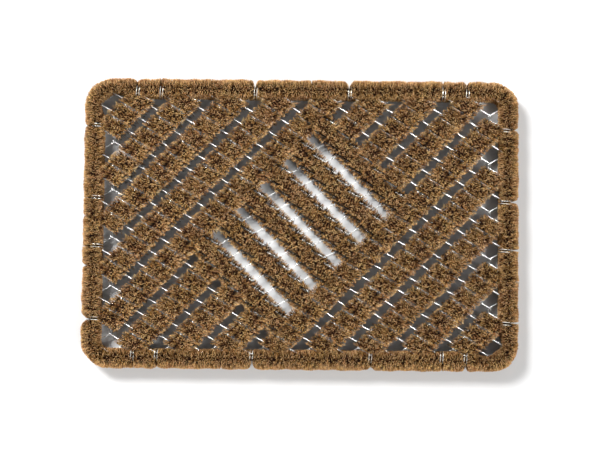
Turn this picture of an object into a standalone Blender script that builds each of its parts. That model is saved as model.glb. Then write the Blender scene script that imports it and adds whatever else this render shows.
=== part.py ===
"""Coir and wire brush door mat.

A galvanised mesh of flattened, interlinked wire coils holds rows of upright coir
tufts, trimmed flat above and below. A coir brush on a two-wire core runs round the
edge. The origin is under the middle of the mat, at floor level: +X along its length,
+Y towards its far long side and +Z up. Lengths are in metres.
"""

import math

import bmesh
import bpy
from mathutils import Matrix, Vector

# ---------------------------------------------------------------- whole mat
MAT_LENGTH = 0.600
MAT_WIDTH = 0.400
MAT_HEIGHT = 0.032
CORNER_RADIUS = 0.038
CORNER_STEPS = 5
FIT_GAP = 0.0005

# ---------------------------------------------------------------- wire mesh
# Nodes, where neighbouring coils hook together, lie on whole columns and rows of a
# lattice. A cell, the diamond between four nodes, is at (column, row) with an even sum.
COLUMN_PITCH = 0.01625
ROW_PITCH = 0.0166
LAST_COLUMN = 17
LAST_ROW = 11
COIL_WIRE = 0.0018
WIRE_TOP = 0.0220
WIRE_BOTTOM = 0.0100
HOOK_REACH = 0.0012
HOOK_RUN = 0.0060

# ---------------------------------------------------------------- coir rows
ROW_WIDTH = 0.0320
NECK_SIDE = 0.0140
WIRE_CLEARANCE = 0.0004
BLOCK_HALF_ROWS = 3
BLOCK_HALF_LINES = 5
LAST_BRUSH_COLUMN = LAST_COLUMN - 1
LAST_BRUSH_ROW = LAST_ROW - 1

# ---------------------------------------------------------------- border
# The ties, which leave the notches, are on whole columns and rows of the mesh.
BORDER_WIDTH = 0.0285
CORE_INSET = 0.0140
CORE_WIRE = 0.0020
CORE_SPLIT = 0.0025
SLOT_WALL = 0.0110
RIM_CHAMFER = 0.0040
NOTCH_HALF_WIDTH = 0.0035
NOTCH_DEPTH = 0.0070
FAR_SIDE_TIES = (-14, -12, -4, 4, 12, 14)
NEAR_SIDE_TIES = (-14, -12, -4, 6, 12, 14)
SHORT_SIDE_TIES = (-8, -2, 2, 8)

# Worked out from the driving dimensions.
SLAB_TOP_FLOOR = WIRE_TOP + COIL_WIRE / 2 + WIRE_CLEARANCE
SLAB_BOTTOM_ROOF = WIRE_BOTTOM - COIL_WIRE / 2 - WIRE_CLEARANCE
WIRE_MIDDLE = (WIRE_TOP + WIRE_BOTTOM) / 2
CELL_STEP = math.hypot(COLUMN_PITCH, ROW_PITCH)
ROW_LEAN = math.atan2(ROW_PITCH, COLUMN_PITCH)
CROSSING_END = CELL_STEP - ROW_WIDTH / 2 - FIT_GAP
OVERCUT = 0.002


def clear_scene():
    for old in list(bpy.data.objects):
        bpy.data.objects.remove(old, do_unlink=True)


def new_collection(name):
    collection = bpy.data.collections.new(name)
    bpy.context.scene.collection.children.link(collection)
    return collection


def new_material(name, color, roughness, metallic):
    material = bpy.data.materials.new(name)
    material.use_nodes = True
    shader = material.node_tree.nodes["Principled BSDF"]
    shader.inputs["Base Color"].default_value = (*color, 1.0)
    shader.inputs["Roughness"].default_value = roughness
    shader.inputs["Metallic"].default_value = metallic
    return material


clear_scene()
PARTS = new_collection("door_mat")
CUTTERS = new_collection("door_mat_cutters")
COIR = new_material("coir", (0.30, 0.17, 0.08), 0.9, 0.0)
GALVANISED = new_material("galvanised_wire", (0.62, 0.62, 0.60), 0.4, 1.0)


# ---------------------------------------------------------------- shape helpers
def add_mesh(name, mesh_maker, collection):
    """Links a new mesh object whose shape mesh_maker draws in an empty bmesh."""
    mesh = bpy.data.meshes.new(name)
    shape = bmesh.new()
    mesh_maker(shape)
    bmesh.ops.recalc_face_normals(shape, faces=shape.faces)
    shape.to_mesh(mesh)
    shape.free()
    made = bpy.data.objects.new(name, mesh)
    collection.objects.link(made)
    return made


def as_cutter(cutter):
    cutter.hide_render = True
    cutter.display_type = "WIRE"
    return cutter


def combine(body, cutter, operation):
    boolean = body.modifiers.new(cutter.name, "BOOLEAN")
    boolean.operation = operation
    boolean.solver = "EXACT"
    boolean.object = cutter


def draw_box(shape, low, high):
    """Adds an axis-aligned box between two corners."""
    low, high = Vector(low), Vector(high)
    size = high - low
    place = Matrix.Translation((low + high) / 2) @ Matrix.Diagonal((*size, 1.0))
    bmesh.ops.create_cube(shape, size=1.0, matrix=place)


def rounded_outline(half_x, half_y, radius):
    """Points round a rectangle with rounded corners, anticlockwise."""
    points = []
    for turn, (side_x, side_y) in enumerate(((1, 1), (-1, 1), (-1, -1), (1, -1))):
        centre = Vector((side_x * (half_x - radius), side_y * (half_y - radius)))
        for step in range(CORNER_STEPS + 1):
            angle = (turn + step / CORNER_STEPS) * math.pi / 2
            points.append(centre + radius * Vector((math.cos(angle), math.sin(angle))))
    return points


def rounded_plate(name, inset, low_z, high_z, collection):
    """A flat plate of the mat's outline, drawn in by inset."""
    outline = rounded_outline(MAT_LENGTH / 2 - inset, MAT_WIDTH / 2 - inset,
                              CORNER_RADIUS - inset)

    def draw(shape):
        rim = [shape.verts.new((point.x, point.y, low_z)) for point in outline]
        base = shape.faces.new(rim)
        raised = bmesh.ops.extrude_face_region(shape, geom=[base])["geom"]
        top = [part for part in raised if isinstance(part, bmesh.types.BMVert)]
        bmesh.ops.translate(shape, vec=(0, 0, high_z - low_z), verts=top)

    return add_mesh(name, draw, collection)


def add_wire(name, points, diameter, closed):
    """A wire through the points, as a four-sided tube."""
    curve = bpy.data.curves.new(name, "CURVE")
    curve.dimensions = "3D"
    curve.bevel_depth = diameter / 2
    curve.bevel_resolution = 0
    curve.use_fill_caps = True
    spline = curve.splines.new("POLY")
    spline.points.add(len(points) - 1)
    for place, point in zip(spline.points, points):
        place.co = (*point, 1.0)
    spline.use_cyclic_u = closed
    curve.materials.append(GALVANISED)
    wire = bpy.data.objects.new(name, curve)
    PARTS.objects.link(wire)
    return wire


# ---------------------------------------------------------------- wire mesh coils
def node_point(column, row, reach, y_shift, z):
    """A point of a coil beside the node at column and row."""
    return (column * COLUMN_PITCH + reach, -row * ROW_PITCH + y_shift, z)


def coil_points(column):
    """The coil between column and column + 1, from the far long side to the near one.

    Its upper runs step from its left column down to its right one, and its lower
    runs step back, with a short rise or drop at each node.
    """
    starts_left = (column + LAST_ROW) % 2 == 1
    points = []
    for row in range(-LAST_ROW, LAST_ROW + 1):
        on_left = ((row + LAST_ROW) % 2 == 0) == starts_left
        side = column if on_left else column + 1
        reach = -HOOK_REACH if on_left else HOOK_REACH
        arrive_z = WIRE_BOTTOM if on_left else WIRE_TOP
        leave_z = WIRE_TOP if on_left else WIRE_BOTTOM
        if row > -LAST_ROW:
            points.append(node_point(side, row, reach, HOOK_RUN / 2, arrive_z))
        else:
            points.append(node_point(side, row, reach, 0.0, WIRE_MIDDLE))
        if row < LAST_ROW:
            points.append(node_point(side, row, reach, -HOOK_RUN / 2, leave_z))
        else:
            points.append(node_point(side, row, reach, 0.0, WIRE_MIDDLE))
    return points


def make_coils():
    for number, column in enumerate(range(-LAST_COLUMN, LAST_COLUMN), start=1):
        add_wire(f"mesh_coil_{number:02d}", coil_points(column), COIL_WIRE, closed=False)


# ---------------------------------------------------------------- coir brush rows
def cell_centre(rise, run):
    """Centre of a cell.

    rise counts the upward-leaning lines of cells towards the near right corner, and
    run counts the cells along such a line towards the far right corner.
    """
    return Vector(((rise + run) * COLUMN_PITCH, (run - rise) * ROW_PITCH, 0.0))


def holds_cell(rise, run):
    return (abs(rise + run) <= LAST_BRUSH_COLUMN) and (abs(rise - run) <= LAST_BRUSH_ROW)


def inside_block(rise, run):
    return abs(rise) <= BLOCK_HALF_ROWS and abs(run) <= BLOCK_HALF_LINES


def lines_of_cells():
    """Every brush row as (name, cells, lean, meets the border at start, and at end)."""
    lines = []
    reach = LAST_BRUSH_COLUMN + LAST_BRUSH_ROW
    for rise in range(-reach, reach + 1):
        if rise % 2:
            continue
        line = [run for run in range(-reach, reach + 1)
                if holds_cell(rise, run) and not inside_block(rise, run)]
        if not line:
            continue
        if abs(rise) > BLOCK_HALF_ROWS:
            cells = [cell_centre(rise, run) for run in line]
            lines.append(("coir_row_long", cells, ROW_LEAN, True, True))
            continue
        near = [cell_centre(rise, run) for run in line if run < 0]
        far = [cell_centre(rise, run) for run in line if run > 0]
        lines.append(("coir_row_short", near, ROW_LEAN, True, False))
        lines.append(("coir_row_short", far, ROW_LEAN, False, True))
    for run in range(-BLOCK_HALF_LINES, BLOCK_HALF_LINES + 1, 2):
        cells = [cell_centre(rise, run)
                 for rise in range(-BLOCK_HALF_ROWS, BLOCK_HALF_ROWS + 1)]
        lines.append(("coir_row_centre", cells, -ROW_LEAN, False, False))
    return lines


def make_coir_row(name, cells, lean, border_start, border_end, inside_border):
    """An upper and a lower slab of bristles, joined by a neck through each cell."""
    past_start = ROW_WIDTH if border_start else CROSSING_END
    past_end = ROW_WIDTH if border_end else CROSSING_END
    start = -past_start
    end = (len(cells) - 1) * CELL_STEP + past_end
    half_width = ROW_WIDTH / 2
    half_neck = NECK_SIDE / 2

    def draw_body(shape):
        draw_box(shape, (start, -half_width, 0.0), (end, half_width, MAT_HEIGHT))

    def draw_channel(side):
        low, high = sorted((side * half_neck, side * (half_width + OVERCUT)))

        def draw(shape):
            draw_box(shape, (start - OVERCUT, low, SLAB_BOTTOM_ROOF),
                     (end + OVERCUT, high, SLAB_TOP_FLOOR))
        return draw

    def draw_crossings(shape):
        edges = [start - OVERCUT]
        for number in range(len(cells)):
            edges += [number * CELL_STEP - half_neck, number * CELL_STEP + half_neck]
        edges.append(end + OVERCUT)
        for low_x, high_x in zip(edges[0::2], edges[1::2]):
            draw_box(shape, (low_x, -half_neck - OVERCUT / 2, SLAB_BOTTOM_ROOF),
                     (high_x, half_neck + OVERCUT / 2, SLAB_TOP_FLOOR))

    body = add_mesh(name, draw_body, PARTS)
    body.data.materials.append(COIR)
    cutters = [
        add_mesh(f"{name}_left_channel", draw_channel(1), CUTTERS),
        add_mesh(f"{name}_right_channel", draw_channel(-1), CUTTERS),
        add_mesh(f"{name}_wire_crossings", draw_crossings, CUTTERS),
    ]
    for placed in [body, *cutters]:
        placed.location = cells[0]
        placed.rotation_euler = (0.0, 0.0, lean)
    for cutter in cutters:
        combine(body, as_cutter(cutter), "DIFFERENCE")
    if border_start or border_end:
        combine(body, inside_border, "INTERSECT")


def make_coir_rows():
    inside_border = as_cutter(rounded_plate(
        "inside_border", BORDER_WIDTH + FIT_GAP, -OVERCUT, MAT_HEIGHT + OVERCUT, CUTTERS))
    counts = {}
    for kind, cells, lean, border_start, border_end in lines_of_cells():
        counts[kind] = counts.get(kind, 0) + 1
        name = f"{kind}_{counts[kind]:02d}"
        make_coir_row(name, cells, lean, border_start, border_end, inside_border)


# ---------------------------------------------------------------- border
def tie_places():
    """Where the border is pulled in: a point on its outer edge and the way inwards."""
    places = []
    for side, columns in ((1, FAR_SIDE_TIES), (-1, NEAR_SIDE_TIES)):
        for column in columns:
            edge = Vector((column * COLUMN_PITCH, side * MAT_WIDTH / 2, 0.0))
            places.append((edge, Vector((0.0, -side, 0.0))))
    for side in (-1, 1):
        for row in SHORT_SIDE_TIES:
            edge = Vector((side * MAT_LENGTH / 2, -row * ROW_PITCH, 0.0))
            places.append((edge, Vector((-side, 0.0, 0.0))))
    return places


def make_border_brush():
    """A ring of bristles, open on its inner side where the mesh reaches its core."""
    body = rounded_plate("border_brush", 0.0, 0.0, MAT_HEIGHT, PARTS)
    body.data.materials.append(COIR)
    rim = body.modifiers.new("rim", "BEVEL")
    rim.width = RIM_CHAMFER
    rim.segments = 1
    rim.limit_method = "ANGLE"
    rim.angle_limit = math.radians(60)

    def draw_notches(shape):
        for edge, inwards in tie_places():
            across = abs(inwards.x) * NOTCH_DEPTH + abs(inwards.y) * NOTCH_HALF_WIDTH
            along = abs(inwards.y) * NOTCH_DEPTH + abs(inwards.x) * NOTCH_HALF_WIDTH
            diamond = (Matrix.Translation(edge + Vector((0, 0, MAT_HEIGHT / 2)))
                       @ Matrix.Diagonal((across, along, MAT_HEIGHT / 2 + OVERCUT, 1.0)))
            bmesh.ops.create_cone(shape, cap_ends=True, segments=4, radius1=1.0,
                                  radius2=1.0, depth=2.0, matrix=diamond)

    cutters = [
        rounded_plate("border_inside", BORDER_WIDTH, -OVERCUT, MAT_HEIGHT + OVERCUT, CUTTERS),
        rounded_plate("border_slot", SLOT_WALL, SLAB_BOTTOM_ROOF, SLAB_TOP_FLOOR, CUTTERS),
        add_mesh("border_notches", draw_notches, CUTTERS),
    ]
    for cutter in cutters:
        combine(body, as_cutter(cutter), "DIFFERENCE")


def make_border_core():
    outline = rounded_outline(MAT_LENGTH / 2 - CORE_INSET, MAT_WIDTH / 2 - CORE_INSET,
                              CORNER_RADIUS - CORE_INSET)
    for name, side in (("border_core_wire_lower", -1), ("border_core_wire_upper", 1)):
        height = MAT_HEIGHT / 2 + side * CORE_SPLIT / 2
        add_wire(name, [(point.x, point.y, height) for point in outline], CORE_WIRE,
                 closed=True)


make_coils()
make_coir_rows()
make_border_brush()
make_border_core()
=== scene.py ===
import math
import random

import bmesh
import bpy
import numpy as np
from mathutils import Matrix, Vector, noise


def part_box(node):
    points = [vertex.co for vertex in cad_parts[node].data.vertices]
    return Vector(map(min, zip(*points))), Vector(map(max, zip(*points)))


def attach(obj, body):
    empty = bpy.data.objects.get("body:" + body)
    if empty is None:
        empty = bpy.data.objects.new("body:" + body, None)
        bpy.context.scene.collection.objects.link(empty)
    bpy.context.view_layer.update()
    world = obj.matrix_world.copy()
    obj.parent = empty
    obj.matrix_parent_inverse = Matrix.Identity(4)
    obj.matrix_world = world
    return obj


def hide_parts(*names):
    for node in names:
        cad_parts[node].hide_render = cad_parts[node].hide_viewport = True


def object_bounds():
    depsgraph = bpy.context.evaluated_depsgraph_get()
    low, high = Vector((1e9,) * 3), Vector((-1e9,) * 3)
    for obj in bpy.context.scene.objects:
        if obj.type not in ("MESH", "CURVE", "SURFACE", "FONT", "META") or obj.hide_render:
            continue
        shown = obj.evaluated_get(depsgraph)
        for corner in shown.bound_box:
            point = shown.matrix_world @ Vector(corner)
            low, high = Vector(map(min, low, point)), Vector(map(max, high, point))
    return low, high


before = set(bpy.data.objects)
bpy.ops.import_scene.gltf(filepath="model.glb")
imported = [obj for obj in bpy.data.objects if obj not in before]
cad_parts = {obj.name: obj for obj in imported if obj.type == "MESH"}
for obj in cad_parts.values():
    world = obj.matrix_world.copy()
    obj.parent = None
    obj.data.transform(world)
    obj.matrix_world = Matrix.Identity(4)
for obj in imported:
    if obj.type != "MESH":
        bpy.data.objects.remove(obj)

# A coir and wire brush mat. Tufts and border are built as bristles: each is first laid
# out in a plain block of bristles, whose copies are then bent to the tuft's own cell or
# to a stretch of the border. Lengths are in metres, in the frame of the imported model.

CAD_LOW, CAD_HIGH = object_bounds()

# ---------------------------------------------------------------- sizes
MAT_TOP = CAD_HIGH.z
MAT_MIDDLE = MAT_TOP / 2
HALF_LENGTH = CAD_HIGH.x
HALF_WIDTH = CAD_HIGH.y
CORNER_RADIUS = 0.038

LAST_COLUMN = 17
LAST_ROW = 11
BLOCK_HALF_ROWS = 3
BLOCK_HALF_LINES = 5
FIRST_CENTRE_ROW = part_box("coir_row_centre_01")
LAST_CENTRE_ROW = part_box("coir_row_centre_06")
COLUMN_PITCH = (LAST_CENTRE_ROW[0].x - FIRST_CENTRE_ROW[0].x) / (2 * BLOCK_HALF_LINES)
ROW_PITCH = (LAST_CENTRE_ROW[0].y - FIRST_CENTRE_ROW[0].y) / (2 * BLOCK_HALF_LINES)

COIL_WIRE = 0.0018
COIL_LOW, COIL_HIGH = (corner.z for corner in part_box("mesh_coil_01"))
WIRE_TOP = COIL_HIGH - COIL_WIRE / 2
WIRE_BOTTOM = COIL_LOW + COIL_WIRE / 2
HOOK_REACH = 0.0012
HOOK_RUN = 0.0060
BEND_RADIUS = 0.0022
HAND_SHIFT = 0.0007

ROW_HALF_WIDTH = 0.0182
CENTRE_HALF_WIDTH = 0.0174
WIRE_CLEARANCE = 0.0015
NECK_HALF_WIDTH = 0.0082
NECK_SHARE = 0.70
PARTING = 0.036
FLARE_POWER = 1.1
BRISTLE_RADIUS = 0.00035
BRISTLE_CORNERS = 7
CURL = 0.0038

BORDER_WIDTH = 0.0285
CORE_INSET = 0.0140
CORE_WIRE = 0.0020
CORE_TWIST = 0.0130
BUNDLE_LENGTH = 0.024
BORDER_PIECES = 8
TIE_WIRE = 0.0011
TIE_SPACING = 0.0036
TIE_TOP = 0.0290
TIE_BOTTOM = 0.0040
TIE_INNER = 0.0135
TIE_OUTER = 0.0035

# Where the border is pinched in: its side, the mesh column or row there, the groove's
# width at the rim, its depth, and whether a wire tie holds it.
PINCHES = (
    ("far", -14.0, 0.0055, 0.0055, True), ("far", -12.0, 0.0025, 0.0025, True),
    ("far", -7.7, 0.0012, 0.0020, False), ("far", -4.0, 0.0060, 0.0120, True),
    ("far", 0.8, 0.0030, 0.0020, False), ("far", 4.0, 0.0100, 0.0095, True),
    ("far", 6.6, 0.0015, 0.0025, False), ("far", 12.0, 0.0030, 0.0120, True),
    ("far", 14.0, 0.0050, 0.0070, True),
    ("near", -14.0, 0.0020, 0.0020, True), ("near", -12.0, 0.0045, 0.0030, True),
    ("near", -6.6, 0.0030, 0.0025, False), ("near", -4.0, 0.0065, 0.0110, True),
    ("near", 6.0, 0.0080, 0.0050, True), ("near", 12.0, 0.0030, 0.0030, True),
    ("near", 14.0, 0.0055, 0.0090, True),
    ("left", -8.0, 0.0045, 0.0035, True), ("left", -2.0, 0.0020, 0.0020, True),
    ("left", -0.5, 0.0050, 0.0030, False), ("left", 2.0, 0.0020, 0.0020, True),
    ("left", 3.6, 0.0060, 0.0055, False), ("left", 8.0, 0.0125, 0.0095, True),
    ("right", -8.0, 0.0060, 0.0080, True), ("right", -6.6, 0.0030, 0.0025, False),
    ("right", -2.0, 0.0060, 0.0120, True), ("right", 2.0, 0.0035, 0.0120, True),
    ("right", 4.6, 0.0015, 0.0025, False), ("right", 8.0, 0.0035, 0.0100, True),
)

SEED = 20
# Without a seed, noise_vector differs from run to run.
noise.seed_set(SEED)


# ---------------------------------------------------------------- shader node helpers
def add_node(tree, kind, **settings):
    node = tree.nodes.new(kind)
    for name, value in settings.items():
        setattr(node, name, value)
    return node


def link(tree, source, target):
    tree.links.new(source, target)


def new_group(name, inputs, outputs):
    """A shader node group with named sockets; inputs map a name to (kind, default)."""
    group = bpy.data.node_groups.new(name, "ShaderNodeTree")
    for socket_name, (kind, default) in inputs.items():
        socket = group.interface.new_socket(socket_name, in_out="INPUT", socket_type=kind)
        socket.default_value = default
    for socket_name, kind in outputs.items():
        group.interface.new_socket(socket_name, in_out="OUTPUT", socket_type=kind)
    return group, add_node(group, "NodeGroupInput"), add_node(group, "NodeGroupOutput")


def math_node(tree, operation, first, second, clamp=False):
    node = add_node(tree, "ShaderNodeMath", operation=operation, use_clamp=clamp)
    for socket, value in zip(node.inputs, (first, second)):
        if isinstance(value, (int, float)):
            socket.default_value = value
        else:
            link(tree, value, socket)
    return node.outputs["Value"]


def ramp_node(tree, factor, stops):
    """A colour ramp; stops are (position, (red, green, blue))."""
    node = add_node(tree, "ShaderNodeValToRGB")
    ramp = node.color_ramp
    while len(ramp.elements) < len(stops):
        ramp.elements.new(0.5)
    for element, (position, color) in zip(ramp.elements, stops):
        element.position = position
        element.color = (*color, 1.0)
    link(tree, factor, node.inputs["Fac"])
    return node.outputs["Color"]


def mix_colors(tree, factor, first, second, blend="MIX"):
    node = add_node(tree, "ShaderNodeMix", data_type="RGBA", blend_type=blend)
    for socket, value in zip((node.inputs[0], node.inputs[6], node.inputs[7]),
                             (factor, first, second)):
        if isinstance(value, (int, float, tuple)):
            socket.default_value = value
        else:
            link(tree, value, socket)
    return node.outputs[2]


def object_noise(tree, scale, detail=2.0, roughness=0.5):
    """Noise on the piece's own coordinates; scale is in cells a metre."""
    place = add_node(tree, "ShaderNodeTexCoord")
    pattern = add_node(tree, "ShaderNodeTexNoise")
    pattern.inputs["Scale"].default_value = scale
    pattern.inputs["Detail"].default_value = detail
    pattern.inputs["Roughness"].default_value = roughness
    link(tree, place.outputs["Object"], pattern.inputs["Vector"])
    return pattern.outputs["Fac"]


# ---------------------------------------------------------------- shared effects
def make_coir_fibre_group():
    """Colour and roughness of coir, from each bristle's own tone, hue and height."""
    group, sockets, out = new_group(
        "coir_fibre",
        {"Root Shade": ("NodeSocketFloat", 0.2), "Patchiness": ("NodeSocketFloat", 0.3)},
        {"Color": "NodeSocketColor", "Roughness": "NodeSocketFloat"})
    strand = add_node(group, "ShaderNodeAttribute", attribute_name="strand")
    parts = add_node(group, "ShaderNodeSeparateColor")
    link(group, strand.outputs["Color"], parts.inputs["Color"])
    tone, height, hue = (parts.outputs[name] for name in ("Red", "Green", "Blue"))
    patches = math_node(group, "SUBTRACT", object_noise(group, 55.0, 3.0), 0.5)
    patches = math_node(group, "MULTIPLY", patches, sockets.outputs["Patchiness"])
    fleck = math_node(group, "SUBTRACT", object_noise(group, 900.0, 1.0), 0.5)
    fleck = math_node(group, "MULTIPLY", fleck, 0.35)
    shade = math_node(group, "ADD", math_node(group, "ADD", tone, patches), fleck, True)
    golden = ramp_node(group, shade, (
        (0.0, (0.022, 0.010, 0.005)), (0.26, (0.165, 0.076, 0.025)),
        (0.56, (0.610, 0.302, 0.078)), (1.0, (1.000, 0.680, 0.280))))
    reddish = ramp_node(group, shade, (
        (0.0, (0.028, 0.010, 0.007)), (0.28, (0.190, 0.074, 0.032)),
        (0.60, (0.580, 0.258, 0.100)), (1.0, (0.990, 0.640, 0.340))))
    warmth = math_node(group, "SUBTRACT", object_noise(group, 38.0, 2.0), 0.5)
    warmth = math_node(group, "MULTIPLY", warmth, 1.6)
    color = mix_colors(group, math_node(group, "ADD", hue, warmth, True), golden, reddish)
    # Painted shade: each bristle's colour is darkened towards its root, down to Root Shade there.
    rise = math_node(group, "POWER", height, 2.5)
    painted_root_shade = math_node(group, "SUBTRACT", 1.0, sockets.outputs["Root Shade"])
    painted_root_shade = math_node(group, "MULTIPLY", rise, painted_root_shade)
    painted_root_shade = math_node(group, "ADD", painted_root_shade, sockets.outputs["Root Shade"])
    shaded = mix_colors(group, 1.0, color, painted_root_shade, "MULTIPLY")
    link(group, shaded, out.inputs["Color"])
    rough = math_node(group, "MULTIPLY_ADD", shade, -0.25)
    rough.node.inputs[2].default_value = 0.85
    link(group, rough, out.inputs["Roughness"])
    return group


def make_zinc_group():
    """Galvanised wire: dull crystals, fine bumps and darker grime in patches."""
    group, sockets, out = new_group(
        "zinc_coat",
        {"Bright": ("NodeSocketColor", (0.8, 0.8, 0.78, 1.0)),
         "Dull": ("NodeSocketColor", (0.5, 0.5, 0.49, 1.0)),
         "Grime": ("NodeSocketFloat", 0.3)},
        {"Color": "NodeSocketColor", "Roughness": "NodeSocketFloat",
         "Height": "NodeSocketFloat"})
    place = add_node(group, "ShaderNodeTexCoord")
    crystals = add_node(group, "ShaderNodeTexVoronoi", feature="F1")
    crystals.inputs["Scale"].default_value = 420.0
    link(group, place.outputs["Object"], crystals.inputs["Vector"])
    spangle = add_node(group, "ShaderNodeSeparateColor")
    link(group, crystals.outputs["Color"], spangle.inputs["Color"])
    coat = mix_colors(group, spangle.outputs["Red"], sockets.outputs["Dull"],
                      sockets.outputs["Bright"])
    dirt = math_node(group, "GREATER_THAN", object_noise(group, 160.0, 4.0), 0.62)
    dirt = math_node(group, "MULTIPLY", dirt, sockets.outputs["Grime"])
    color = mix_colors(group, dirt, coat, (0.16, 0.14, 0.12, 1.0))
    link(group, color, out.inputs["Color"])
    rough = math_node(group, "MULTIPLY", spangle.outputs["Green"], 0.2)
    rough = math_node(group, "ADD", rough, 0.20)
    link(group, math_node(group, "ADD", rough, dirt, True), out.inputs["Roughness"])
    link(group, object_noise(group, 1500.0, 2.0), out.inputs["Height"])
    return group


COIR_FIBRE = make_coir_fibre_group()
ZINC_COAT = make_zinc_group()


# ---------------------------------------------------------------- materials
def new_material(name, color, roughness, metallic=0.0):
    material = bpy.data.materials.new(name)
    material.use_nodes = True
    shader = material.node_tree.nodes["Principled BSDF"]
    shader.inputs["Base Color"].default_value = (*color, 1.0)
    shader.inputs["Roughness"].default_value = roughness
    shader.inputs["Metallic"].default_value = metallic
    return material, material.node_tree, shader


def place_group(tree, group, values):
    node = add_node(tree, "ShaderNodeGroup", node_tree=group)
    for name, value in values.items():
        node.inputs[name].default_value = value
    return node


def coir_material(name, root_shade, patchiness):
    material, tree, shader = new_material(name, (0.25, 0.15, 0.075), 0.8)
    shader.inputs["Specular IOR Level"].default_value = 0.1
    fibre = place_group(tree, COIR_FIBRE,
                        {"Root Shade": root_shade, "Patchiness": patchiness})
    link(tree, fibre.outputs["Color"], shader.inputs["Base Color"])
    link(tree, fibre.outputs["Roughness"], shader.inputs["Roughness"])
    return material


def zinc_material(name, bright, dull, grime):
    material, tree, shader = new_material(name, bright, 0.4, 0.85)
    coat = place_group(tree, ZINC_COAT,
                       {"Bright": (*bright, 1.0), "Dull": (*dull, 1.0), "Grime": grime})
    link(tree, coat.outputs["Color"], shader.inputs["Base Color"])
    link(tree, coat.outputs["Roughness"], shader.inputs["Roughness"])
    bump = add_node(tree, "ShaderNodeBump")
    bump.inputs["Strength"].default_value = 0.25
    bump.inputs["Distance"].default_value = 0.0001
    link(tree, coat.outputs["Height"], bump.inputs["Height"])
    link(tree, bump.outputs["Normal"], shader.inputs["Normal"])
    return material


ROW_COIR = coir_material("row_coir", root_shade=0.10, patchiness=0.55)
BORDER_COIR = coir_material("border_coir", root_shade=0.10, patchiness=0.55)
PLAIN_COIR = new_material("plain_coir", (0.22, 0.13, 0.065), 0.85)[0]
MESH_ZINC = zinc_material("mesh_zinc", (0.95, 0.95, 0.94), (0.78, 0.78, 0.77), 0.10)
TIE_ZINC = zinc_material("tie_zinc", (0.68, 0.66, 0.60), (0.46, 0.44, 0.40), 0.30)


# ---------------------------------------------------------------- finishing a piece
def add_piece(name, mesh, material, nodes, plain=None):
    """A finished piece at the origin, riding on the mat; plain is its simple finish."""
    piece = bpy.data.objects.new(name, mesh)
    bpy.context.scene.collection.objects.link(piece)
    mesh.materials.append(plain or material)
    if plain:
        piece.material_slots[0].link = "OBJECT"
        piece.material_slots[0].material = material
    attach(piece, "root")
    if nodes:
        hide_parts(*nodes)
    return piece


def wire_mesh(name, points, diameter, closed=False, sides=2):
    """A round wire through the points, with its end caps welded on."""
    curve = bpy.data.curves.new(name, "CURVE")
    curve.dimensions = "3D"
    curve.bevel_depth = diameter / 2
    curve.bevel_resolution = sides
    curve.use_fill_caps = True
    spline = curve.splines.new("POLY")
    spline.points.add(len(points) - 1)
    for place, point in zip(spline.points, points):
        place.co = (*point, 1.0)
    spline.use_cyclic_u = closed
    guide = bpy.data.objects.new(name, curve)
    bpy.context.scene.collection.objects.link(guide)
    evaluated = guide.evaluated_get(bpy.context.evaluated_depsgraph_get())
    mesh = bpy.data.meshes.new_from_object(evaluated)
    bpy.data.objects.remove(guide)
    shape = bmesh.new()
    shape.from_mesh(mesh)
    bmesh.ops.remove_doubles(shape, verts=shape.verts, dist=0.00001)
    bmesh.ops.recalc_face_normals(shape, faces=shape.faces)
    shape.to_mesh(mesh)
    shape.free()
    mesh.materials.clear()
    mesh.shade_smooth()
    mesh.set_sharp_from_angle(angle=math.radians(50))
    return mesh


def rounded_corners(points, radius, steps=3):
    """The same path with each inner corner swept round."""
    smooth = [points[0]]
    for before, corner, after in zip(points, points[1:], points[2:]):
        into, out_of = before - corner, after - corner
        reach = min(radius, into.length * 0.45, out_of.length * 0.45)
        start = corner + into.normalized() * reach
        end = corner + out_of.normalized() * reach
        for step in range(steps + 1):
            share = step / steps
            smooth.append(start * (1 - share) ** 2 + corner * 2 * share * (1 - share)
                          + end * share ** 2)
    smooth.append(points[-1])
    return smooth


# ---------------------------------------------------------------- mesh lattice
def hand_shift(column, row):
    """How far a hand-woven node has strayed, the same for both coils that meet there."""
    wander = noise.noise_vector(Vector((column * 0.41, row * 0.37, SEED)))
    return Vector((wander.x, wander.y, 0.0)) * HAND_SHIFT * 2


def node_place(column, row):
    return Vector((column * COLUMN_PITCH, -row * ROW_PITCH, 0.0)) + hand_shift(column, row)


def hook_point(column, row, on_left, y_shift, z):
    reach = -HOOK_REACH if on_left else HOOK_REACH
    return node_place(column, row) + Vector((reach, y_shift, z))


def coil_points(column):
    """The coil between column and column + 1, from the far long side to the near one."""
    starts_left = (column + LAST_ROW) % 2 == 1
    middle = (WIRE_TOP + WIRE_BOTTOM) / 2
    points = []
    for row in range(-LAST_ROW, LAST_ROW + 1):
        on_left = ((row + LAST_ROW) % 2 == 0) == starts_left
        side = column if on_left else column + 1
        arrive_z, leave_z = (WIRE_BOTTOM, WIRE_TOP) if on_left else (WIRE_TOP, WIRE_BOTTOM)
        if row == -LAST_ROW:
            points.append(hook_point(side, row, on_left, 0.0, middle))
        else:
            points.append(hook_point(side, row, on_left, HOOK_RUN / 2, arrive_z))
        if row == LAST_ROW:
            points.append(hook_point(side, row, on_left, 0.0, middle))
        else:
            points.append(hook_point(side, row, on_left, -HOOK_RUN / 2, leave_z))
    return points


def make_coils():
    for number, column in enumerate(range(-LAST_COLUMN, LAST_COLUMN), start=1):
        name = f"coil_wire_{number:02d}"
        points = rounded_corners(coil_points(column), BEND_RADIUS)
        add_piece(name, wire_mesh(name, points, COIL_WIRE), MESH_ZINC,
                  [f"mesh_coil_{number:02d}"])


# ---------------------------------------------------------------- bristles
# Painted shade: the pith gets a dark tone and a low height, so it shows as the shade deep among
# the bristles.
PITH_SHADE_LOOK = (0.12, 0.35, 0.5, 1.0)


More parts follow.
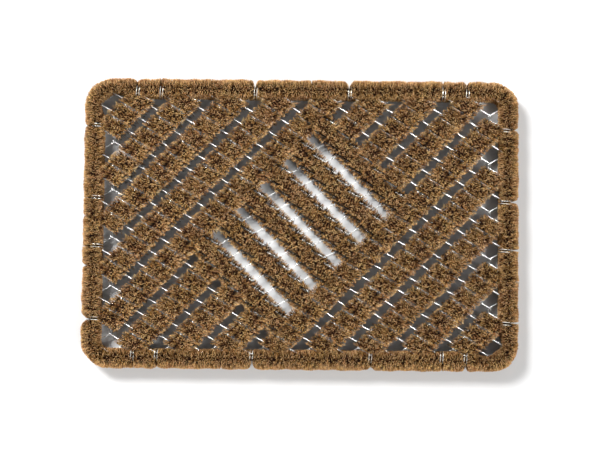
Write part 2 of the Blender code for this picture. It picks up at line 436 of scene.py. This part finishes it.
def bristle_seed():
    """One bristle, three-sided: pointed root, a ring where it bends, and a cut tip."""
    shape = bmesh.new()
    bmesh.ops.create_cone(shape, cap_ends=True, segments=3, radius1=0.0, radius2=1.0,
                          depth=1.0, matrix=Matrix.Translation((0, 0, 0.5)))
    lid = max(shape.faces, key=lambda face: face.calc_center_median().z)
    raised = bmesh.ops.extrude_face_region(shape, geom=[lid])["geom"]
    tip = [part for part in raised if isinstance(part, bmesh.types.BMVert)]
    bmesh.ops.translate(shape, vec=(0, 0, 1), verts=tip)
    bmesh.ops.delete(shape, geom=[lid], context="FACES_ONLY")
    bmesh.ops.recalc_face_normals(shape, faces=shape.faces)
    return shape


def finished_mesh(name, shape):
    """Turns a bmesh into a mesh and frees it."""
    mesh = bpy.data.meshes.new(name)
    shape.to_mesh(mesh)
    shape.free()
    return mesh


def scatter_bristles(name, places, rings, radii):
    """A block of bristles, each a copy of the seed bristle.

    places give each bristle's root, bend and tip in the block's own coordinates, with
    its tone and hue. rings turns an offset of the seed's rings into those coordinates.
    """
    shape = bristle_seed()
    strand = shape.verts.layers.float_color.new("strand")
    seed = shape.verts[:] + shape.edges[:] + shape.faces[:]
    seed_verts = shape.verts[:]
    for levels, tone, hue in places:
        copy = bmesh.ops.duplicate(shape, geom=seed)["vert_map"]
        hand = math.copysign(1.0, levels[2].z - levels[0].z)
        for vert in seed_verts:
            level = round(vert.co.z)
            corner = Vector((vert.co.x * hand, vert.co.y, 0.0))
            copy[vert].co = levels[level] + rings(corner, radii[level])
            copy[vert][strand] = (tone, level / 2, hue, 1.0)
    bmesh.ops.delete(shape, geom=seed_verts, context="VERTS")
    return finished_mesh(name, shape)


def vertex_places(mesh):
    places = np.empty(len(mesh.vertices) * 3)
    mesh.vertices.foreach_get("co", places)
    return places.reshape(-1, 3)


def append_bent(shape, block, bend, mirrors):
    """Adds a copy of a block to the shape, its vertices moved by bend.

    A bend that mirrors the block turns it inside out, so its faces are turned back.
    """
    copy = block.copy()
    copy.vertices.foreach_set("co", bend(vertex_places(copy)).ravel())
    if mirrors:
        copy.flip_normals()
    shape.from_mesh(copy)
    bpy.data.meshes.remove(copy)


# ---------------------------------------------------------------- tuft blocks
TUFT_VARIANTS = 7
TUFT_ACROSS = 29
TUFT_ALONG = 17
UNDER_ACROSS = 12
UNDER_ALONG = 8
TUFT_HALF_LENGTH = 0.0107
CROSSING_SHARE = 0.06
MEET_OVER = 0.15
CENTRE_SPREAD = 1.05

# A bristle's tone and hue, from 0 to 1: the middle, how far a lock of bristles and the
# swirl it lies in move it, and how far single bristles stray.
MIDDLE_TONE = 0.50
MIDDLE_HUE = 0.42
LOCK_TONE = 1.15
SWIRL_TONE = 0.30
SWIRL_HUE = 0.8
STRAY_LOOK = 0.22
# How many swirls and locks a tuft holds, along its row and across it.
TUFT_SWIRLS = (2.6, 4.2)
TUFT_LOCKS = (5.4, 8.8)
LOCK_SEED_STEP = 70


def bristle_look(chance, swirl, lock):
    """Tone and hue of a bristle, alike in a lock and stray from one to the next."""
    tone = MIDDLE_TONE + SWIRL_TONE * swirl.z + LOCK_TONE * lock + chance.gauss(0, STRAY_LOOK)
    hue = MIDDLE_HUE + SWIRL_HUE * swirl.x + chance.gauss(0, STRAY_LOOK)
    return min(1.0, max(0.0, tone)), min(1.0, max(0.0, hue))


def tuft_bristles(chance, across, along, side):
    """Bristles on a jittered grid: x runs along the row, y across it and z up or down."""
    seed = chance.uniform(0, 50)
    for i in range(across):
        for j in range(along):
            x = (j + chance.uniform(0.0, 1.0)) / along * 2 - 1
            y = (i + chance.uniform(0.0, 1.0)) / across * 2 - 1
            swirl = noise.noise_vector(Vector((x * TUFT_SWIRLS[0], y * TUFT_SWIRLS[1], seed)))
            lock = noise.noise(Vector((x * TUFT_LOCKS[0], y * TUFT_LOCKS[1],
                                       seed + LOCK_SEED_STEP)))
            heading = Vector((swirl.x + chance.gauss(0, 0.30) + 0.5 * x ** 3,
                              swirl.y + chance.gauss(0, 0.30) + 0.6 * y ** 3)).normalized()
            curl = CURL * chance.uniform(0.25, 1.0)
            lean = Vector((heading.x * curl / TUFT_HALF_LENGTH,
                           heading.y * curl / ROW_HALF_WIDTH, 0.0))
            root = Vector((x * 0.85, y * 0.85, side * 0.35))
            bend = Vector((x, y, side * chance.uniform(0.66, 0.90))) + lean * 0.2
            tip = Vector((x, y, 0.0)) + lean
            if abs(tip.x) > 1 and chance.random() > CROSSING_SHARE:
                tip.x = math.copysign(2 - abs(tip.x), tip.x)
            tip.z = side * (chance.uniform(0.92, 1.01) - 0.05 * y ** 6 + 0.10 * swirl.z)
            yield (root, bend, tip), *bristle_look(chance, swirl, lock)


def tuft_rings(offset, radius):
    """A ring's corner as a share of half a cell along the row and half the row across."""
    return Vector((offset.x * radius / TUFT_HALF_LENGTH,
                   offset.y * radius / ROW_HALF_WIDTH, 0.0))


def make_tuft_blocks():
    blocks = []
    radii = (0.0, BRISTLE_RADIUS, BRISTLE_RADIUS * 0.85)
    for number in range(TUFT_VARIANTS):
        chance = random.Random(SEED + number)
        places = list(tuft_bristles(chance, TUFT_ACROSS, TUFT_ALONG, 1))
        places += tuft_bristles(chance, UNDER_ACROSS, UNDER_ALONG, -1)
        blocks.append(scatter_bristles(f"tuft_block_{number}", places, tuft_rings, radii))
    return blocks


def make_tuft_pith(name, width, end_height):
    """Packed fibre inside a tuft, painted dark as shade; width and end height are shares of the
    tuft's.
    """
    shape = bmesh.new()
    strand = shape.verts.layers.float_color.new("strand")
    bmesh.ops.create_cube(shape, size=2.0)
    bmesh.ops.subdivide_edges(shape, edges=shape.edges[:], cuts=3, use_grid_fill=True)
    for vert in shape.verts:
        lump = 0.06 * noise.noise(vert.co * 2.3)
        at_end = abs(vert.co.x) > 0.9
        vert.co.x = math.copysign(1.03 if at_end else abs(vert.co.x) * 1.6, vert.co.x)
        vert.co.y *= 1.45 if at_end else width + lump
        vert.co.z *= end_height if at_end else 0.70 + lump
        vert[strand] = PITH_SHADE_LOOK
    return finished_mesh(name, shape)


# ---------------------------------------------------------------- coir rows
def in_block(rise, run):
    return abs(rise) <= BLOCK_HALF_ROWS and abs(run) <= BLOCK_HALF_LINES


def holds_tuft(rise, run):
    """True where a cell of the mesh is filled; the cell lines are numbered both ways."""
    if abs(rise + run) >= LAST_COLUMN or abs(rise - run) >= LAST_ROW:
        return False
    if in_block(rise, run):
        return run % 2 == 1
    return rise % 2 == 0


def brush_rows():
    """Every brush row as (CAD node, its cells, True if it leans up to the right)."""
    counts = {}
    reach = LAST_COLUMN + LAST_ROW
    rows = []

    def add(kind, cells, leans_up):
        counts[kind] = counts.get(kind, 0) + 1
        rows.append((f"coir_row_{kind}_{counts[kind]:02d}", cells, leans_up))

    for rise in range(-reach, reach + 1):
        line = [(rise, run) for run in range(-reach, reach + 1)
                if holds_tuft(rise, run) and not in_block(rise, run)]
        if line and abs(rise) > BLOCK_HALF_ROWS:
            add("long", line, True)
        elif line:
            add("short", [cell for cell in line if cell[1] < 0], True)
            add("short", [cell for cell in line if cell[1] > 0], True)
    for run in range(-BLOCK_HALF_LINES, BLOCK_HALF_LINES + 1, 2):
        add("centre", [(rise, run) for rise in range(-BLOCK_HALF_ROWS, BLOCK_HALF_ROWS + 1)],
            False)
    return rows


BORDER_OVERLAP = 0.0070


def press_inside(values, limit, give=0.008):
    """Squeezes what passes the border's inner edge back inside it, tightly packed."""
    start = limit - give
    over = np.maximum(np.abs(values) - start, 0.0)
    kept = give * (1 - np.exp(-over / give))
    return np.sign(values) * np.where(over > 0, start + kept, np.abs(values))


def tuft_bend(rise, run, leans_up, turned, bristled):
    """How a tuft block fills its own cell: bound at the mesh, flared above and below."""
    column, row = rise + run, rise - run
    far, right = node_place(column, row - 1), node_place(column + 1, row)
    left, near = node_place(column - 1, row), node_place(column, row + 1)
    leave, arrive = Vector((-HOOK_REACH, -HOOK_RUN / 2, 0)), Vector((HOOK_REACH, HOOK_RUN / 2, 0))
    upper = np.array(far + leave), np.array(right + arrive)
    lower = np.array(left + leave), np.array(near + arrive)
    centre = (upper[0] + upper[1] + lower[0] + lower[1]) / 4
    wire = (upper[1] - upper[0]) + (lower[1] - lower[0])
    wire /= np.linalg.norm(wire)
    step = (upper[0] + upper[1] - lower[0] - lower[1]) / 4

    if leans_up:
        along, across = step * (1 - PARTING), wire
        low_side, high_side = holds_tuft(rise - 1, run), holds_tuft(rise + 1, run)
        slant = abs(np.cross(step[:2], wire[:2])) / np.linalg.norm(step)
        open_half = ROW_HALF_WIDTH / slant
    else:
        along = np.array(near + right - far - left) / 4
        across = np.array((-along[1], along[0], 0.0)) / np.linalg.norm(along)
        low_side, high_side = holds_tuft(rise, run - 1), holds_tuft(rise, run + 1)
        open_half = CENTRE_HALF_WIDTH
    shut_half = np.linalg.norm(step) * 0.97
    neck_half = NECK_HALF_WIDTH
    wire_normal = np.array((-wire[1], wire[0], 0.0))
    wire_away = abs(step @ wire_normal)

    def bend(places):
        x, y, z = places.T
        x, y = x * turned, y * turned
        flare = np.abs(z) ** FLARE_POWER
        side_half = np.where(y < 0, shut_half if low_side else open_half,
                             shut_half if high_side else open_half)
        half = neck_half + (side_half - neck_half) * flare
        spread = NECK_SHARE + (1 - NECK_SHARE) * flare
        if leans_up:
            spread = spread * (1 + MEET_OVER * flare * np.clip((y - 0.2) / 0.4, 0, 1))
        else:
            spread = np.where(z > 0, CENTRE_SPREAD, spread)
        out = (centre + np.outer(x * spread, along) + np.outer(y * half, across))
        if bristled and not leans_up:
            away = (out - centre) @ wire_normal
            off_wire = np.abs(away) - wire_away
            side = np.sign(off_wire.reshape(-1, BRISTLE_CORNERS).mean(1))
            side = np.repeat(side, BRISTLE_CORNERS)
            push = side * np.maximum(0.0, WIRE_CLEARANCE - side * off_wire) * flare
            out += np.outer(push * np.sign(away), wire_normal)
        out[:, 0] = press_inside(out[:, 0], HALF_LENGTH - BORDER_WIDTH + BORDER_OVERLAP)
        out[:, 1] = press_inside(out[:, 1], HALF_WIDTH - BORDER_WIDTH + BORDER_OVERLAP)
        out[:, 2] = np.maximum(MAT_MIDDLE * (1 + z), 0.0)
        return out

    return bend


def make_coir_rows():
    blocks = make_tuft_blocks()
    crossed_pith = make_tuft_pith("crossed_pith", 0.84, 0.20)
    centre_pith = make_tuft_pith("centre_pith", 0.60, 0.62)
    chance = random.Random(SEED)
    for node, cells, leans_up in brush_rows():
        shape = bmesh.new()
        for rise, run in cells:
            turned = chance.choice((-1, 1))
            append_bent(shape, chance.choice(blocks),
                        tuft_bend(rise, run, leans_up, turned, True), leans_up)
            append_bent(shape, crossed_pith if leans_up else centre_pith,
                        tuft_bend(rise, run, leans_up, turned, False), leans_up)
        add_piece(node.replace("coir_row", "brush_row"), finished_mesh(node, shape),
                  ROW_COIR, [node], PLAIN_COIR)


# ---------------------------------------------------------------- border path
CORE_X = HALF_LENGTH - CORE_INSET
CORE_Y = HALF_WIDTH - CORE_INSET
CORE_RADIUS = CORNER_RADIUS - CORE_INSET


def path_sides():
    """The core's path, anticlockwise from the middle of the right side.

    Each part is ("straight", length, start, direction) or ("corner", length, centre,
    quarter turns already made).
    """
    straight_x, straight_y = CORE_X - CORE_RADIUS, CORE_Y - CORE_RADIUS
    quarter = CORE_RADIUS * math.pi / 2
    return [
        ("straight", straight_y, (CORE_X, 0), (0, 1)),
        ("corner", quarter, (straight_x, straight_y), 0),
        ("straight", 2 * straight_x, (straight_x, CORE_Y), (-1, 0)),
        ("corner", quarter, (-straight_x, straight_y), 1),
        ("straight", 2 * straight_y, (-CORE_X, straight_y), (0, -1)),
        ("corner", quarter, (-straight_x, -straight_y), 2),
        ("straight", 2 * straight_x, (-straight_x, -CORE_Y), (1, 0)),
        ("corner", quarter, (straight_x, -straight_y), 3),
        ("straight", straight_y, (CORE_X, -straight_y), (0, 1)),
    ]


PATH_SIDES = path_sides()
PATH_LENGTH = sum(side[1] for side in PATH_SIDES)


def on_path(distances):
    """Points on the core's path and its outward directions, for an array of distances."""
    distances = np.mod(distances, PATH_LENGTH)
    points = np.zeros((len(distances), 2))
    outward = np.zeros((len(distances), 2))
    reached = 0.0
    for kind, length, anchor, turn in PATH_SIDES:
        here = (distances >= reached) & (distances <= reached + length)
        gone = distances[here] - reached
        if kind == "straight":
            points[here] = np.array(anchor) + np.outer(gone, turn)
            outward[here] = (turn[1], -turn[0])
        else:
            angle = turn * math.pi / 2 + gone / CORE_RADIUS
            outward[here] = np.stack((np.cos(angle), np.sin(angle)), -1)
            points[here] = np.array(anchor) + CORE_RADIUS * outward[here]
        reached += length
    return points, outward


def path_distance(x, y):
    """How far along the core's path its nearest point to (x, y) is."""
    distances = np.linspace(0, PATH_LENGTH, 8000)
    points = on_path(distances)[0]
    return distances[np.argmin(np.hypot(points[:, 0] - x, points[:, 1] - y))]


def pinch_distances():
    """Each pinch as (path distance, half the rim width, depth, tied)."""
    found = []
    for side, place, width, depth, tied in PINCHES:
        if side in ("far", "near"):
            x, y = place * COLUMN_PITCH, CORE_Y if side == "far" else -CORE_Y
        else:
            x, y = CORE_X if side == "right" else -CORE_X, -place * ROW_PITCH
        found.append((path_distance(x, y), width / 2, depth, tied))
    return found


PINCHED = pinch_distances()
# The border stands back from the mesh's two open corner cells.
OPEN_CORNERS = [path_distance(-CORE_X + 0.030, CORE_Y), path_distance(-CORE_X, CORE_Y - 0.022),
                path_distance(CORE_X - 0.030, -CORE_Y), path_distance(CORE_X, -CORE_Y + 0.022)]


# ---------------------------------------------------------------- border brush
BUNDLE_BRISTLES = 900
BUNDLE_VARIANTS = 5
SECTION_POWER = 3.4
PINCH_REACH = 0.011
DROOP = 0.22
CROWN = 0.40
# Painted light: the border's bristles are made lighter than the rows', most on the outer side and
# least on the inner side.
BORDER_PAINTED_LIGHT = 0.22
RIM_PAINTED_LIGHT = 0.20
SIDE_SHARE = 0.42
UNDERSIDE_SKIPPED = 0.7
BUNDLE_SWIRLS = (5.5, 3.2)
BUNDLE_LOCKS = (12.0, 8.0)
BUNDLE_PITH_REACH = 0.62
CORNER_REACH = 0.016
CORNER_SHORTENED = 0.38
TIED_CREASE = 0.0010
LOOSE_CREASE = 0.0003


def section_radius(turn):
    """From the core to the trimmed outside of the brush, at a turn round the core."""
    across, up = np.abs(np.cos(turn)), np.abs(np.sin(turn))
    power = SECTION_POWER
    return ((across / CORE_INSET) ** power + (up / MAT_MIDDLE) ** power) ** (-1 / power)


def droop(turn):
    """Where a bristle's tip leans to: outside the crown, further down its own side."""
    upright = math.pi / 2
    off = abs(abs(turn) - upright)
    lean = DROOP * min(1.0, max(0.0, (off - CROWN) / CROWN)) * math.cos(turn) ** 2
    return math.copysign(upright + (abs(turn) - upright) * (1 + lean), turn)


def bundle_bristles(chance):
    """Bristles round the core: x runs along it, y is the turn round it, z the reach."""
    made = 0
    seed = chance.uniform(0, 50)
    while made < BUNDLE_BRISTLES:
        across, up = chance.uniform(-1, 1), chance.uniform(-1, 1)
        if chance.random() < SIDE_SHARE:
            across = math.copysign(1.0, across)
        else:
            up = math.copysign(1.0, up)
        if up == -1 and chance.random() < UNDERSIDE_SKIPPED:
            continue
        made += 1
        turn = math.atan2(up, across)
        x = chance.random()
        swirl = noise.noise_vector(Vector((x * BUNDLE_SWIRLS[0], turn * BUNDLE_SWIRLS[1],
                                           seed)))
        lock = noise.noise(Vector((x * BUNDLE_LOCKS[0], turn * BUNDLE_LOCKS[1],
                                   seed + LOCK_SEED_STEP)))
        lean = Vector((swirl.x + chance.gauss(0, 0.5), swirl.y + chance.gauss(0, 0.5), 0.0))
        lean *= CURL * chance.uniform(0.4, 1.1)
        lean = Vector((lean.x / BUNDLE_LENGTH, lean.y / CORE_INSET, 0.0))
        root = Vector((x, turn, 0.35))
        bend = Vector((x, turn, chance.uniform(0.58, 0.80))) + lean * 0.3
        tip = Vector((x, droop(turn), chance.uniform(0.92, 1.02))) + lean
        tone, hue = bristle_look(chance, swirl, lock)
        # Painted light and shade: lighter on the outer side of the border, darker on its inner
        # side.
        tone += BORDER_PAINTED_LIGHT + RIM_PAINTED_LIGHT * math.cos(turn)
        yield (root, bend, tip), min(1.0, tone), hue


def bundle_rings(offset, radius):
    return Vector((offset.x * radius / BUNDLE_LENGTH, offset.y * radius / CORE_INSET, 0.0))


def make_bundle_blocks():
    radii = (0.0, BRISTLE_RADIUS, BRISTLE_RADIUS * 0.85)
    return [scatter_bristles(f"bundle_block_{number}",
                             list(bundle_bristles(random.Random(SEED + 50 + number))),
                             bundle_rings, radii)
            for number in range(BUNDLE_VARIANTS)]


def make_bundle_pith():
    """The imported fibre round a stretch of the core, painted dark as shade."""
    shape = bmesh.new()
    strand = shape.verts.layers.float_color.new("strand")
    bmesh.ops.create_cone(shape, cap_ends=True, segments=16, radius1=1.0, radius2=1.0,
                          depth=1.0, matrix=Matrix.Rotation(math.pi / 2, 4, "Y"))
    lengthwise = [edge for edge in shape.edges
                  if abs(edge.verts[0].co.x - edge.verts[1].co.x) > 0.5]
    bmesh.ops.subdivide_edges(shape, edges=lengthwise, cuts=9)
    for vert in shape.verts:
        turn = math.atan2(vert.co.z, vert.co.y)
        vert.co = Vector((vert.co.x + 0.5, turn, BUNDLE_PITH_REACH))
        vert[strand] = PITH_SHADE_LOOK
    return finished_mesh("bundle_pith", shape)


def gap_to(distance, place):
    """Signed distance along the path from a place on it, the short way round."""
    return np.mod(distance - place + PATH_LENGTH / 2, PATH_LENGTH) - PATH_LENGTH / 2


def draw_back(distance, across):
    """Shortens the bristles over the open corner cells, on the brush's inner side."""
    for corner in OPEN_CORNERS:
        near = np.exp(-(gap_to(distance, corner) / CORNER_REACH) ** 2)
        across = np.where(across < 0, across * (1 - CORNER_SHORTENED * near), across)
    return across


def pinch(distance, across, up, sides):
    """Parts the bristles at each pinch; sides says which side each bristle goes to."""
    for place, half_width, depth, tied in PINCHED:
        gap = gap_to(distance, place)
        near = np.abs(gap) < PINCH_REACH
        if not near.any():
            continue
        side = np.sign(gap_to(sides, place))
        away = np.maximum(side * gap, 0.0)
        groove = np.clip((across - CORE_INSET + depth) / depth, 0, 1) ** 0.8
        crease = np.clip(up / MAT_MIDDLE, 0, 1) * (TIED_CREASE if tied else LOOSE_CREASE)
        half = np.maximum(half_width * groove, crease)
        shifted = side * (half + away * (1 - half / PINCH_REACH))
        lobe = 1 - 0.14 * groove * np.exp(-away / 0.0025) * (half_width > 0.002)
        distance = np.where(near, place + shifted, distance)
        across = np.where(near, across * lobe, across)
        if tied:
            under = np.exp(-(away / 0.0034) ** 4) * (across < TIE_OUTER)
            low = np.minimum(up, TIE_TOP - TIE_WIRE - MAT_MIDDLE)
            up = np.where(near, up + (low - up) * under, up)
    return distance, across, up


def bundle_bend(start, length, mirrored, bristled):
    """Bends a bundle block to the stretch of border that starts at a path distance."""

    def bend(places):
        x, turn, reach = places.T
        if mirrored:
            x = 1 - x
        distance = start + x * length
        radius = section_radius(turn) * reach
        across, up = radius * np.cos(turn), radius * np.sin(turn)
        wave = 0.6 * np.sin(distance * 118) + 0.5 * np.sin(distance * 287 + 2)
        across = across * (1 + 0.055 * wave * (across > 0))
        across = draw_back(distance, across)
        if bristled:
            sides = np.repeat(distance.reshape(-1, BRISTLE_CORNERS).mean(1), BRISTLE_CORNERS)
            distance, across, up = pinch(distance, across, up, sides)
        else:
            across, up = waist(distance, across, up)
        points, outward = on_path(distance)
        flat = points + outward * across[:, None]
        height = np.clip(MAT_MIDDLE + up, 0.0, MAT_TOP)
        return np.column_stack((flat, height))

    return bend


def waist(distance, across, up):
    """Narrows the packed fibre at each pinch."""
    for place, half_width, depth, _ in PINCHED:
        near = np.exp(-(gap_to(distance, place) / (half_width + 0.0015)) ** 2)
        limit = np.maximum(CORE_INSET - depth - 0.0015, 0.002)
        across = across - np.maximum(across - limit, 0) * near
        up = up * (1 - 0.25 * near)
    return across, up


def make_border():
    blocks = make_bundle_blocks()
    pith = make_bundle_pith()
    chance = random.Random(SEED + 3)
    count = BORDER_PIECES * round(PATH_LENGTH / BUNDLE_LENGTH / BORDER_PIECES)
    length = PATH_LENGTH / count
    per_piece = count // BORDER_PIECES
    for number in range(BORDER_PIECES):
        shape = bmesh.new()
        for place in range(number * per_piece, (number + 1) * per_piece):
            mirrored = chance.random() < 0.5
            append_bent(shape, chance.choice(blocks),
                        bundle_bend(place * length, length, mirrored, True), mirrored)
            append_bent(shape, pith, bundle_bend(place * length, length, False, False), True)
        name = f"border_bristles_{number + 1:02d}"
        add_piece(name, finished_mesh(name, shape), BORDER_COIR,
                  ["border_brush"], PLAIN_COIR)


def make_border_core():
    """The two core wires, twisted round each other."""
    turns = round(PATH_LENGTH / CORE_TWIST)
    steps = turns * 8
    distances = np.arange(steps) / steps * PATH_LENGTH
    points, outward = on_path(distances)
    for name, node, phase in (("core_strand_lower", "border_core_wire_lower", 0.0),
                              ("core_strand_upper", "border_core_wire_upper", math.pi)):
        angle = np.arange(steps) / steps * turns * 2 * math.pi + phase
        reach = CORE_WIRE * 0.52
        flat = points + outward * (reach * np.cos(angle))[:, None]
        height = MAT_MIDDLE + reach * np.sin(angle)
        path = [Vector(point) for point in np.column_stack((flat, height))]
        add_piece(name, wire_mesh(name, path, CORE_WIRE, closed=True, sides=1), TIE_ZINC,
                  [node])


# ---------------------------------------------------------------- tie loops
TIE_TURNS = 2
TIE_STEPS = 28


def make_ties():
    """Each tie binds the core to the mesh with two turns of thin wire."""
    tied = [place for place, _, _, held in PINCHED if held]
    for number, distance in enumerate(tied, start=1):
        point, outward = (Vector((*row[0], 0.0)) for row in on_path(np.array([distance])))
        sideways = Vector((-outward.y, outward.x, 0.0))
        middle = (TIE_OUTER - TIE_INNER) / 2
        half_span = (TIE_OUTER + TIE_INNER) / 2
        half_rise = (TIE_TOP - TIE_BOTTOM) / 2
        path = []
        for step in range(TIE_TURNS * TIE_STEPS + 1):
            share = step / TIE_STEPS
            angle = share * 2 * math.pi
            swing = Vector((math.cos(angle), math.sin(angle)))
            squared = (abs(swing.x) ** 3 + abs(swing.y) ** 3) ** (-1 / 3)
            across = middle + half_span * swing.x * squared
            height = (TIE_TOP + TIE_BOTTOM) / 2 + half_rise * swing.y * squared
            slide = (share - TIE_TURNS / 2) * TIE_SPACING
            path.append(point + outward * across + sideways * slide
                        + Vector((0, 0, height)))
        name = f"tie_loop_{number:02d}"
        add_piece(name, wire_mesh(name, path, TIE_WIRE), TIE_ZINC, [])


# ---------------------------------------------------------------- studio
BACKDROP_GLOW = 0.80
AMBIENT_GLOW = 0.12
FLOOR_DROP = 0.0003
# Area lights as (place, size, power), and the sun as (the way to it, spread in degrees,
# strength).
KEY_LIGHT = ((-1.80, 1.88, 2.40), 1.5, 186.0)
SHEEN_LIGHT = ((0.75, 1.15, 1.97), 1.3, 80.0)
FILL_SUN = ((1.35, -0.85, 1.5), 31.0, 2.4)


def make_floor():
    mesh = bpy.data.meshes.new("floor")
    shape = bmesh.new()
    bmesh.ops.create_grid(shape, x_segments=1, y_segments=1, size=6.0)
    shape.to_mesh(mesh)
    shape.free()
    floor = bpy.data.objects.new("floor", mesh)
    bpy.context.scene.collection.objects.link(floor)
    floor.location.z = -FLOOR_DROP
    material = new_material("floor_paint", (0.86, 0.86, 0.86), 0.9)[0]
    mesh.materials.append(material)


def make_light(name, place, size, power):
    data = bpy.data.lights.new(name, "AREA")
    data.shape = "DISK"
    data.size = size
    data.energy = power
    light = bpy.data.objects.new(name, data)
    bpy.context.scene.collection.objects.link(light)
    light.location = place
    light.rotation_euler = (-Vector(place)).to_track_quat("-Z", "Y").to_euler()
    return light


def make_sun(name, toward, spread, strength):
    """An even light over the whole floor, from the direction of a point."""
    data = bpy.data.lights.new(name, "SUN")
    data.angle = math.radians(spread)
    data.energy = strength
    light = bpy.data.objects.new(name, data)
    bpy.context.scene.collection.objects.link(light)
    light.rotation_euler = (-Vector(toward)).to_track_quat("-Z", "Y").to_euler()


def make_studio():
    make_floor()
    make_light("key_light", *KEY_LIGHT)
    make_sun("fill_light", *FILL_SUN)
    # The sheen is seen only in reflections, most of all in the wires.
    sheen = make_light("sheen_light", *SHEEN_LIGHT)
    sheen.visible_diffuse = False
    world = bpy.data.worlds.new("studio")
    world.use_nodes = True
    tree = world.node_tree
    backdrop = tree.nodes["Background"]
    backdrop.inputs["Color"].default_value = (1.0, 1.0, 1.0, 1.0)
    backdrop.inputs["Strength"].default_value = BACKDROP_GLOW
    ambient = add_node(tree, "ShaderNodeBackground")
    ambient.inputs["Color"].default_value = (1.0, 1.0, 1.0, 1.0)
    ambient.inputs["Strength"].default_value = AMBIENT_GLOW
    seen = add_node(tree, "ShaderNodeLightPath")
    mixed = add_node(tree, "ShaderNodeMixShader")
    link(tree, seen.outputs["Is Camera Ray"], mixed.inputs["Fac"])
    link(tree, ambient.outputs["Background"], mixed.inputs[1])
    link(tree, backdrop.outputs["Background"], mixed.inputs[2])
    link(tree, mixed.outputs["Shader"], tree.nodes["World Output"].inputs["Surface"])
    bpy.context.scene.world = world
    bpy.context.scene.view_settings.view_transform = "Standard"


CAMERA_LENS = 85.0
CAMERA_DISTANCE = 1.955
CAMERA_ELEVATION = 86.5
CAMERA_ROLL = 0.6
CAMERA_AIM = (-0.0010, -0.0008)


def make_camera():
    data = bpy.data.cameras.new("camera")
    data.lens = CAMERA_LENS
    data.sensor_width = 36.0
    camera = bpy.data.objects.new("camera", data)
    bpy.context.scene.collection.objects.link(camera)
    rise = math.radians(CAMERA_ELEVATION)
    aim = Vector((*CAMERA_AIM, MAT_MIDDLE))
    back = Vector((0.0, -math.cos(rise), math.sin(rise)))
    camera.location = aim + back * CAMERA_DISTANCE
    turned = Matrix.Rotation(math.pi / 2 - rise, 3, "X")
    turned = turned @ Matrix.Rotation(math.radians(CAMERA_ROLL), 3, "Z")
    camera.rotation_euler = turned.to_euler()
    bpy.context.scene.camera = camera


make_camera()
make_coils()
make_coir_rows()
make_border()
make_border_core()
make_ties()
make_studio()
